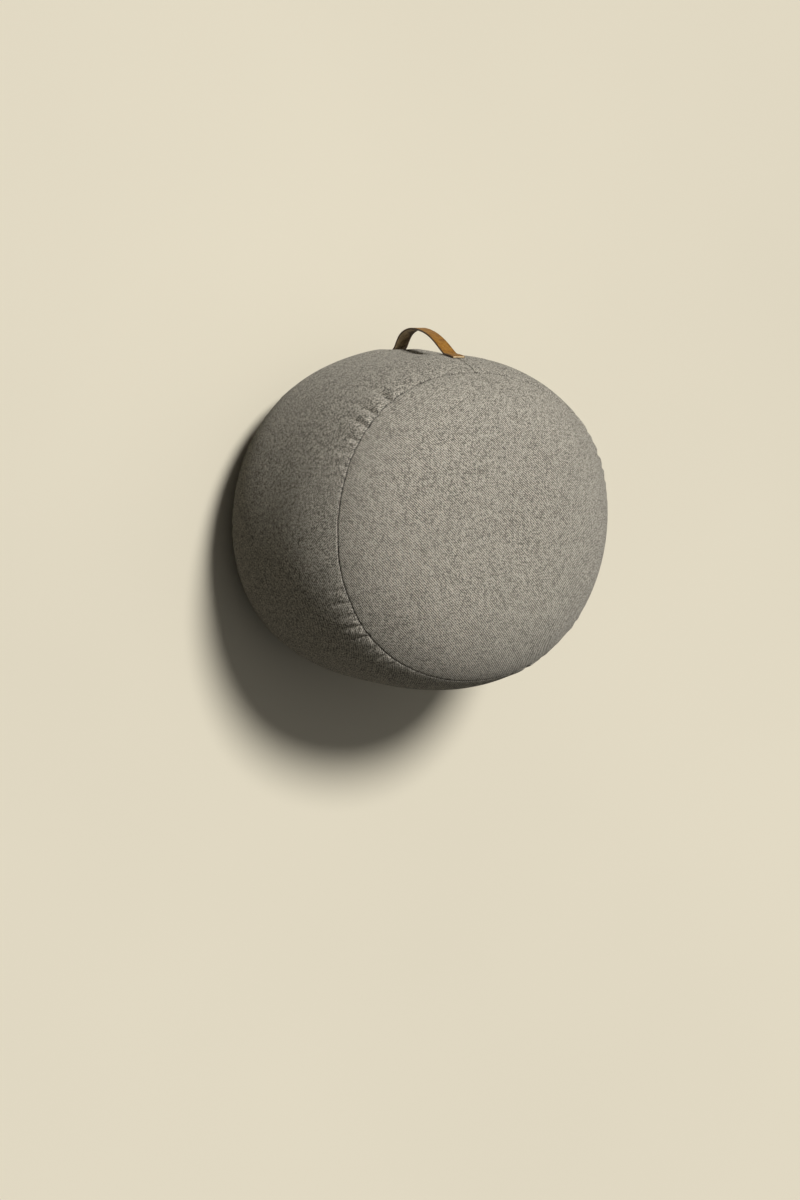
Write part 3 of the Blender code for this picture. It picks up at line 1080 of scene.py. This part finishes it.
@dataclass(frozen=True)
class StrapHandle:
    """Leather strap, sewn flat to the band at both ends and arched between them."""

    form: PoufForm
    width: float = 0.0220
    thickness: float = 0.0025
    seat: float = 0.0006
    twist: float = 0.07
    twist_rise: float = 0.034
    twist_spread: float = 0.020
    steps: int = 12
    rounding: float = 0.0007
    corner: float = 0.0016
    lower_foot: tuple[float, ...] = (-0.0865, -0.0755, -0.0655)
    upper_foot: tuple[float, ...] = (0.0790, 0.0900, 0.1015)
    arch: tuple[StrapPoint, ...] = (
        StrapPoint(-0.0590, 0.2465), StrapPoint(-0.0530, 0.2550), StrapPoint(-0.0455, 0.2640),
        StrapPoint(-0.0350, 0.2702), StrapPoint(-0.0200, 0.2742), StrapPoint(-0.0040, 0.2745),
        StrapPoint(0.0130, 0.2718), StrapPoint(0.0290, 0.2673), StrapPoint(0.0440, 0.2607),
        StrapPoint(0.0570, 0.2533), StrapPoint(0.0690, 0.2455),
    )

    def band_under(self, rise: float) -> tuple[float, float]:
        """Gives how far out the band reaches under the strap's width, and its slope from side to side."""
        form = self.form
        lifted = form.lean * form.radius * math.cos(form.join_at - form.lean_towards)
        turn = form.turn_at_rise(rise - lifted)
        spread = self.width / 2 / form.radius
        angles = form.join_at + spread * np.array((-1.0, -0.5, 0.0, 0.5, 1.0))
        across = form.points(angles, np.full(5, turn))
        slope = (across[0, 1] - across[-1, 1]) / (across[-1, 0] - across[0, 0])
        return float((-across[:, 1] - slope * across[:, 0]).max()), float(slope)

    def line(self) -> Array:
        """Gives the strap's middle line, as distances from the axis and heights over the floor."""
        seat = self.seat + self.thickness / 2
        feet = [[(self.band_under(rise)[0] + seat, rise) for rise in foot]
                for foot in (self.lower_foot, self.upper_foot)]
        guides = np.array([*feet[0], *((point.out, point.rise) for point in self.arch), *feet[1]])
        guides[:, 1] += self.form.base_drop
        guides = np.vstack([2 * guides[0] - guides[1], guides, 2 * guides[-1] - guides[-2]])
        line = []
        for first, second, third, fourth in zip(guides, guides[1:], guides[2:], guides[3:]):
            linear = third - first
            square = 2 * first - 5 * second + 4 * third - fourth
            cube = 3 * second - first - 3 * third + fourth
            for share in np.arange(self.steps) / self.steps:
                line.append(second + (linear * share + square * share ** 2 + cube * share ** 3) / 2)
        return np.array([*line, guides[-2]])

    def slope(self, rise: float) -> float:
        """Gives the strap's slope from side to side: the band's own, with a slight twist in one leg."""
        away = (rise - self.twist_rise) / self.twist_spread
        return self.band_under(rise)[1] + self.twist * math.exp(-away ** 2 / 2)

    def section(self) -> list[tuple[float, float, Facing]]:
        """Gives the section's corners, across and outwards, and the face that each strip belongs to."""
        wide, thick, bend = self.width / 2, self.thickness / 2, self.rounding
        corners: list[tuple[float, float, Facing]] = []
        for share in np.linspace(-1, 1, 13):
            corners.append((share * (wide - bend), thick, Facing.GRAIN))
        for turn in (60, 30, 0, -30, -60):
            angle = math.radians(turn)
            reach = thick - bend if turn else 0.0
            corners.append((wide - bend + bend * math.cos(angle),
                            math.copysign(reach, turn) + bend * math.sin(angle), Facing.EDGE))
        for share in np.linspace(1, -1, 13):
            corners.append((share * (wide - bend), -thick, Facing.FLESH))
        for turn in (240, 210, 180, 150, 120):
            angle = math.radians(turn)
            reach = 0.0 if turn == 180 else math.copysign(thick - bend, math.sin(angle))
            across = -wide + bend + bend * math.cos(angle)
            corners.append((across, reach + bend * math.sin(angle), Facing.EDGE))
        return corners

    def frame_at(self, line: Array, index: int) -> tuple[Array, Array, float]:
        """Gives a place on the strap: its point, its outward direction and its side slope."""
        ahead, behind = line[min(index + 1, len(line) - 1)], line[max(index - 1, 0)]
        along = (ahead - behind) / np.linalg.norm(ahead - behind)
        return line[index], np.array((along[1], -along[0])), self.slope(line[index, 1] - self.form.base_drop)

    def narrowing(self, from_end: float) -> float:
        """Gives how much narrower each side is near the ends, where the corners are rounded off."""
        if from_end >= self.corner:
            return 0.0
        return self.corner - math.sqrt(max(self.corner ** 2 - (self.corner - from_end) ** 2, 0.0))

    def place(self, line: Array, index: int, across: float, out: float) -> Array:
        """Gives the point of the strap at a place on its line, a distance across and outwards."""
        point, outwards, slope = self.frame_at(line, index)
        spot = point + outwards * out
        return np.array((across, -spot[0] - slope * across, spot[1]))

    def spot(self, line: Array, steps: Array, along: float, across: float, out: float) -> Array:
        """Gives the point of the strap at a length along it, a distance across and outwards."""
        index = int(np.clip(np.searchsorted(steps, along) - 1, 0, len(steps) - 2))
        share = (along - steps[index]) / (steps[index + 1] - steps[index])
        first = self.place(line, index, across, out)
        return first + (self.place(line, index + 1, across, out) - first) * share

    def make(self, finishes: Sequence[bpy.types.Material]) -> bpy.types.Object:
        """Builds the strap.

        Args:
            finishes: Materials in the order of Facing.

        Returns:
            The new piece.
        """
        line = self.line()
        steps = np.concatenate(([0.0], np.cumsum(np.linalg.norm(np.diff(line, axis=0), axis=1))))
        section = self.section()
        maker = SkinMaker()
        rings = []
        for index in range(len(line)):
            slim = self.narrowing(min(steps[index], steps[-1] - steps[index]))
            factor = (self.width / 2 - slim) / (self.width / 2)
            points = np.array([self.place(line, index, across * factor, out) for across, out, _ in section])
            weave = np.array([(across, steps[index] + 0.002 * (out < 0)) for across, out, _ in section])
            rings.append(maker.ring(points, np.vstack([weave, weave[:1]])))
        for first, second in zip(rings, rings[1:]):
            count = len(section)
            for corner in range(count):
                following = (corner + 1) % count
                facing = section[corner][2] if section[corner][2] is section[following][2] else Facing.EDGE
                numbers = (first[0][corner], first[0][following], second[0][following], second[0][corner])
                weave = (first[1][corner], first[1][following], second[1][following], second[1][corner])
                maker.face(numbers[::-1], weave[::-1], facing.value)
        maker.face(rings[0][0], rings[0][1][:-1], Facing.CUT.value)
        maker.face(rings[-1][0][::-1], rings[-1][1][:-1][::-1], Facing.CUT.value)
        return maker.build("strap_handle", finishes)


@dataclass(frozen=True)
class FootStitches:
    """Stitches that hold the strap's two feet: one row along the end and one along each side."""

    strap: StrapHandle
    radius: float = 0.00038
    length: float = 0.0027
    pitch: float = 0.0039
    from_end: float = 0.0034
    from_side: float = 0.0026
    side_count: int = 5
    sides: int = 6
    rings: int = 7
    sunk: float = 0.00022
    bow: float = 0.9
    end_share: float = 0.04

    def lines(self, total: float) -> list[tuple[float, float, float, float]]:
        """Gives the stitches of both feet.

        Args:
            total: Length of the strap.

        Returns:
            For each stitch, its start along and across the strap, and its end along and across.
        """
        half = self.strap.width / 2 - self.from_side
        half_stitch = self.length / 2
        stitches = []
        count = int(2 * half / self.pitch)
        for foot in (1, -1):
            end = self.from_end if foot == 1 else total - self.from_end
            for index in range(count):
                across = (index - (count - 1) / 2) * self.pitch
                stitches.append((end, across - half_stitch, end, across + half_stitch))
            for side in (-half, half):
                for index in range(self.side_count):
                    start = end + foot * (0.5 + index) * self.pitch
                    stitches.append((start - half_stitch, side, start + half_stitch, side))
        return stitches

    def make(self, thread: bpy.types.Material) -> bpy.types.Object:
        """Builds the stitches.

        Args:
            thread: Their material.

        Returns:
            The new piece.
        """
        line = self.strap.line()
        steps = np.concatenate(([0.0], np.cumsum(np.linalg.norm(np.diff(line, axis=0), axis=1))))
        circle = np.arange(self.sides) / self.sides * TAU
        maker = SkinMaker()
        for start, start_across, end, end_across in self.lines(float(steps[-1])):
            rings = []
            lengthways = Vector((end_across - start_across, end - start)).normalized()
            for share in np.linspace(0.0, 1.0, self.rings):
                slim = math.sqrt(max(1 - (2 * share - 1) ** 4, self.end_share))
                along = start + (end - start) * share
                across = start_across + (end_across - start_across) * share
                bow = self.bow * self.radius * math.sin(math.pi * share)
                rise = self.strap.thickness / 2 - self.sunk + bow
                points = []
                for angle in circle:
                    aside = self.radius * slim * math.cos(angle)
                    out = rise + self.radius * slim * math.sin(angle)
                    place = along + lengthways[0] * aside, across - lengthways[1] * aside
                    points.append(self.strap.spot(line, steps, *place, out))
                weave = np.column_stack([np.append(circle, TAU) * self.radius,
                                         np.full(self.sides + 1, share * self.length)])
                rings.append(maker.ring(np.array(points), weave))
            for first, second in zip(rings, rings[1:]):
                maker.bridge(first, second)
            for ring, turned in ((rings[0], True), (rings[-1], False)):
                middle = maker.points[-self.rings if turned else -2].mean(axis=0)
                maker.close(ring, middle, ring[1].mean(axis=0), turned)
        return maker.build("strap_stitches", [thread])


@dataclass(frozen=True)
class Studio:
    """Plain pale floor, soft light and a camera at the photograph's angle."""

    target: tuple[float, float, float] = (0.0, 0.0, 0.19)
    steepness: float = 0.5577
    tilt: float = -0.1396
    towards: float = math.radians(8.5)
    focal_pixels: float = 2797.0
    metres_per_pixel: float = 0.0014592266
    target_pixel: tuple[float, float] = (419.25, 517.43)
    picture: tuple[int, int] = (800, 1200)
    sensor: float = 36.0
    floor_radius: float = 60.0
    floor_colour: tuple[float, float, float] = (0.725, 0.675, 0.548)
    bounce_share: float = 0.24
    key_side: float = math.radians(41)
    key_height: float = math.radians(50)
    key_strength: float = 3.26
    key_spread: float = math.radians(14)
    top_strength: float = 0.42
    top_spread: float = math.radians(80)
    light_colour: tuple[float, float, float] = (1.0, 0.985, 0.955)
    backdrop_strength: float = 0.80
    backdrop_colour: tuple[float, float, float, float] = (0.88, 0.81, 0.66, 1.0)
    bounce_drop: float = 0.0005
    view_end: float = 500.0

    def axes(self) -> tuple[Vector, Vector, Vector]:
        """Gives the camera's right, up and backward directions."""
        side = Vector((math.cos(self.towards), -math.sin(self.towards), 0.0))
        rise = Vector((0.0, 0.0, 1.0))
        right = rise * math.sin(self.steepness) - side * math.cos(self.steepness)
        up = Vector((side.y, -side.x, 0.0))
        back = side * math.sin(self.steepness) + rise * math.cos(self.steepness)
        turned_right = right * math.cos(self.tilt) - up * math.sin(self.tilt)
        turned_up = right * math.sin(self.tilt) + up * math.cos(self.tilt)
        return turned_right, turned_up, back

    def make_camera(self) -> None:
        """Makes the camera."""
        right, up, back = self.axes()
        camera = bpy.data.objects.new("camera", bpy.data.cameras.new("camera"))
        bpy.context.scene.collection.objects.link(camera)
        place = Vector(self.target) + back * self.focal_pixels * self.metres_per_pixel
        matrix = Matrix((right, up, back)).transposed().to_4x4()
        matrix.translation = place
        camera.matrix_world = matrix
        longest = max(self.picture)
        camera.data.sensor_width = self.sensor
        camera.data.lens = self.focal_pixels / longest * self.sensor
        camera.data.shift_x = (self.picture[0] / 2 - self.target_pixel[0]) / longest
        camera.data.shift_y = (self.target_pixel[1] - self.picture[1] / 2) / longest
        camera.data.clip_end = self.view_end
        bpy.context.scene.camera = camera

    def make_floor(self, name: str, brightness: float, height: float) -> bpy.types.Object:
        """Makes a round sheet of paper on the floor.

        Args:
            name: The object's name.
            brightness: Share of the floor's colour.
            height: Height of the sheet.

        Returns:
            The new object.
        """
        table = NodeTable(name + "_paper")
        place = table.tree.nodes.new("ShaderNodeTexCoord").outputs["Object"]
        mottle = table.noise(place, 0.8, 3.0, 0.5)
        pale = tuple(min(1.02 * brightness * part, 1.0) for part in self.floor_colour)
        deep = tuple(0.97 * brightness * part for part in self.floor_colour)
        table.put(table.shader.inputs["Base Color"], table.ramp(mottle, ((0.3, deep), (0.7, pale))))
        table.shader.inputs["Roughness"].default_value = 0.9
        table.shader.inputs["Specular IOR Level"].default_value = 0.15
        angles = np.arange(96) / 96 * TAU
        points = [(self.floor_radius * math.cos(a), self.floor_radius * math.sin(a), height) for a in angles]
        mesh = bpy.data.meshes.new(name)
        mesh.from_pydata(points, [], [tuple(range(len(points)))])
        mesh.materials.append(table.material)
        floor = bpy.data.objects.new(name, mesh)
        bpy.context.scene.collection.objects.link(floor)
        return floor

    def make_floors(self) -> None:
        """Makes the floor that is seen, and under it the darker one that throws light back at the pouf."""
        seen = self.make_floor("floor", 1.0, 0.0)
        seen.visible_diffuse = False
        seen.visible_shadow = False
        bounce = self.make_floor("floor_bounce", self.bounce_share, -self.bounce_drop)
        bounce.visible_camera = False

    def make_light(self, name: str, direction: Vector, strength: float, spread: float) -> None:
        """Makes one far, soft light.

        Args:
            name: The light's name.
            direction: Towards the light.
            strength: Its strength.
            spread: The angle that it fills, which softens its shadows.
        """
        lamp = bpy.data.lights.new(name, "SUN")
        lamp.energy = strength
        lamp.angle = spread
        lamp.color = self.light_colour
        light = bpy.data.objects.new(name, lamp)
        light.rotation_mode = "QUATERNION"
        light.rotation_quaternion = direction.to_track_quat("Z", "Y")
        bpy.context.scene.collection.objects.link(light)

    def make_lights(self) -> None:
        """Makes the key light, the soft light from above and the plain backdrop."""
        right, up, back = self.axes()
        level = right * math.cos(self.key_side) + up * math.sin(self.key_side)
        direction = level * math.cos(self.key_height) + back * math.sin(self.key_height)
        self.make_light("key_light", direction, self.key_strength, self.key_spread)
        self.make_light("top_light", Vector((0.0, 0.0, 1.0)), self.top_strength, self.top_spread)
        world = bpy.data.worlds.new("studio_room")
        bpy.context.scene.world = world
        world.use_nodes = True
        background = world.node_tree.nodes["Background"]
        background.inputs["Color"].default_value = self.backdrop_colour
        background.inputs["Strength"].default_value = self.backdrop_strength
        world.cycles_visibility.diffuse = False
        world.cycles_visibility.glossy = False
        world.cycles_visibility.transmission = False

    def make(self) -> None:
        """Makes everything around the pouf."""
        self.make_camera()
        self.make_floors()
        self.make_lights()
        bpy.context.scene.view_settings.view_transform = "Standard"


def wear(piece: bpy.types.Object, node: str | None) -> None:
    """Ties a piece to the model.

    Args:
        piece: The new piece.
        node: The model's node that it stands for, if it stands for one.
    """
    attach(piece, BODY)
    if node is not None:
        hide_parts(node)
    LOG.info("%s: %d faces", piece.name, len(piece.data.polygons))


# Folds of the band at the top seam: the near side's two groups, then those of the far side. Each gives its
# place in degrees, its depth, reach and width, and its slant.
BAND_FOLDS = (
    Fold(301.5, 0.0022, 0.030, 0.0044, 0.05), Fold(307.8, 0.0100, 0.060, 0.0066, -0.04),
    Fold(315.2, 0.0092, 0.056, 0.0062, 0.04), Fold(321.4, 0.0078, 0.050, 0.0054, -0.08),
    Fold(326.8, 0.0052, 0.042, 0.0048, 0.10), Fold(332.0, 0.0042, 0.040, 0.0046, 0.03),
    Fold(337.5, 0.0022, 0.028, 0.0038, -0.05), Fold(342.0, 0.0014, 0.024, 0.0036, 0.06),
    Fold(21.5, 0.0032, 0.038, 0.0044, 0.10), Fold(27.0, 0.0038, 0.044, 0.0044, -0.05),
    Fold(31.8, 0.0034, 0.040, 0.0038, 0.10), Fold(36.5, 0.0066, 0.054, 0.0048, 0.02),
    Fold(41.5, 0.0062, 0.056, 0.0048, -0.14), Fold(46.6, 0.0062, 0.060, 0.0046, 0.16),
    Fold(51.6, 0.0050, 0.052, 0.0046, 0.04), Fold(57.0, 0.0038, 0.046, 0.0044, -0.08),
    Fold(63.0, 0.0022, 0.036, 0.0042, 0.04), Fold(108.0, 0.0026, 0.030, 0.0042, 0.06),
    Fold(115.0, 0.0056, 0.040, 0.0050, 0.05), Fold(122.5, 0.0034, 0.034, 0.0044, -0.08),
    Fold(140.5, 0.0060, 0.042, 0.0052, -0.10), Fold(149.0, 0.0036, 0.034, 0.0044, 0.10),
    Fold(188.0, 0.0030, 0.032, 0.0042, -0.05), Fold(195.0, 0.0052, 0.040, 0.0048, 0.08),
    Fold(204.5, 0.0068, 0.046, 0.0056, -0.05), Fold(213.0, 0.0058, 0.042, 0.0050, 0.12),
    Fold(221.0, 0.0036, 0.034, 0.0044, -0.06),
)
# Stretches of the top seam where the band and the panel are gathered more than elsewhere.
TOP_ZONES = (GatherZone(205, 17, 0.75), GatherZone(127, 17, 0.65), GatherZone(250, 10, 0.25))
PANEL_ZONES = (
    GatherZone(294, 8, 0.8), GatherZone(42, 8, 0.8), GatherZone(205, 17, 0.6), GatherZone(127, 17, 0.5),
)


def main() -> None:
    """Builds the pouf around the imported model, and the studio around the pouf."""
    logging.basicConfig(level=logging.INFO, format="%(name)s %(message)s")
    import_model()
    form = PoufForm()
    top = Sewing(
        Seam.TOP, SeamLine(seed=11), Gathers(seed=21, zones=TOP_ZONES, level=0.20, placed=BAND_FOLDS),
        Gathers(seed=31, zones=PANEL_ZONES, level=0.10, depth=0.0011, reach=(0.010, 0.026)),
    )
    base = Sewing(
        Seam.BASE, SeamLine(seed=12), Gathers(seed=22, zones=(), level=0.95),
        Gathers(seed=32, zones=(), level=0.3, depth=0.0009, reach=(0.008, 0.018)),
    )
    band = SideBand(form, (top, base), Unevenness(seed=41))
    top_cover = RoundPanel(form, top, band, Unevenness(seed=42), "top_panel_cover")
    base_cover = RoundPanel(form, base, band, Unevenness(seed=43), "base_panel_cover")
    top_wool = WoolTwill("top_wool", Cut.ROUND, form.crown_length)
    band_wool = WoolTwill("band_wool", Cut.STRIP, 2 * form.seam_length, TAU * form.radius,
                          contrast=1.20, line_contrast=0.52)
    base_wool = WoolTwill("base_wool", Cut.ROUND, form.crown_length)
    wear(top_cover.make(top_wool.make()), "top_panel")
    wear(band.make(band_wool.make()), "side_band")
    wear(base_cover.make(base_wool.make()), "base_panel")
    grain = StrapLeather(
        "strap_grain", colour=(0.305, 0.137, 0.017), deep=(0.155, 0.056, 0.006), pale=(0.43, 0.22, 0.048),
        roughness=0.55, grain=900.0, pores=0.5, specular=0.22,
    )
    # The flesh side gets painted shade on one side, standing in for the arch's shadow on the inner leg.
    flesh = StrapLeather(
        "strap_flesh", colour=(0.38, 0.26, 0.125), deep=(0.09, 0.052, 0.020), pale=(0.66, 0.50, 0.29),
        roughness=0.85, grain=1500.0, pores=1.6, specular=0.2, sheen=0.3, painted_side_shade=-0.55,
    )
    edge = StrapLeather(
        "strap_edge", colour=(0.105, 0.052, 0.019), deep=(0.055, 0.026, 0.010), pale=(0.18, 0.10, 0.04),
        roughness=0.45, grain=1800.0, pores=0.6,
    )
    cut = StrapLeather(
        "strap_cut", colour=(0.64, 0.48, 0.28), deep=(0.40, 0.27, 0.14), pale=(0.74, 0.60, 0.38),
        roughness=0.8, grain=2200.0, pores=1.6,
    )
    strap = StrapHandle(form)
    leathers = [leather.make() for leather in (grain, flesh, edge, cut)]
    wear(strap.make(leathers), "handle_strap")
    thread = Thread("strap_thread", (0.20, 0.085, 0.022))
    wear(FootStitches(strap).make(thread.make()), None)
    Studio().make()


if __name__ == "__main__":
    main()
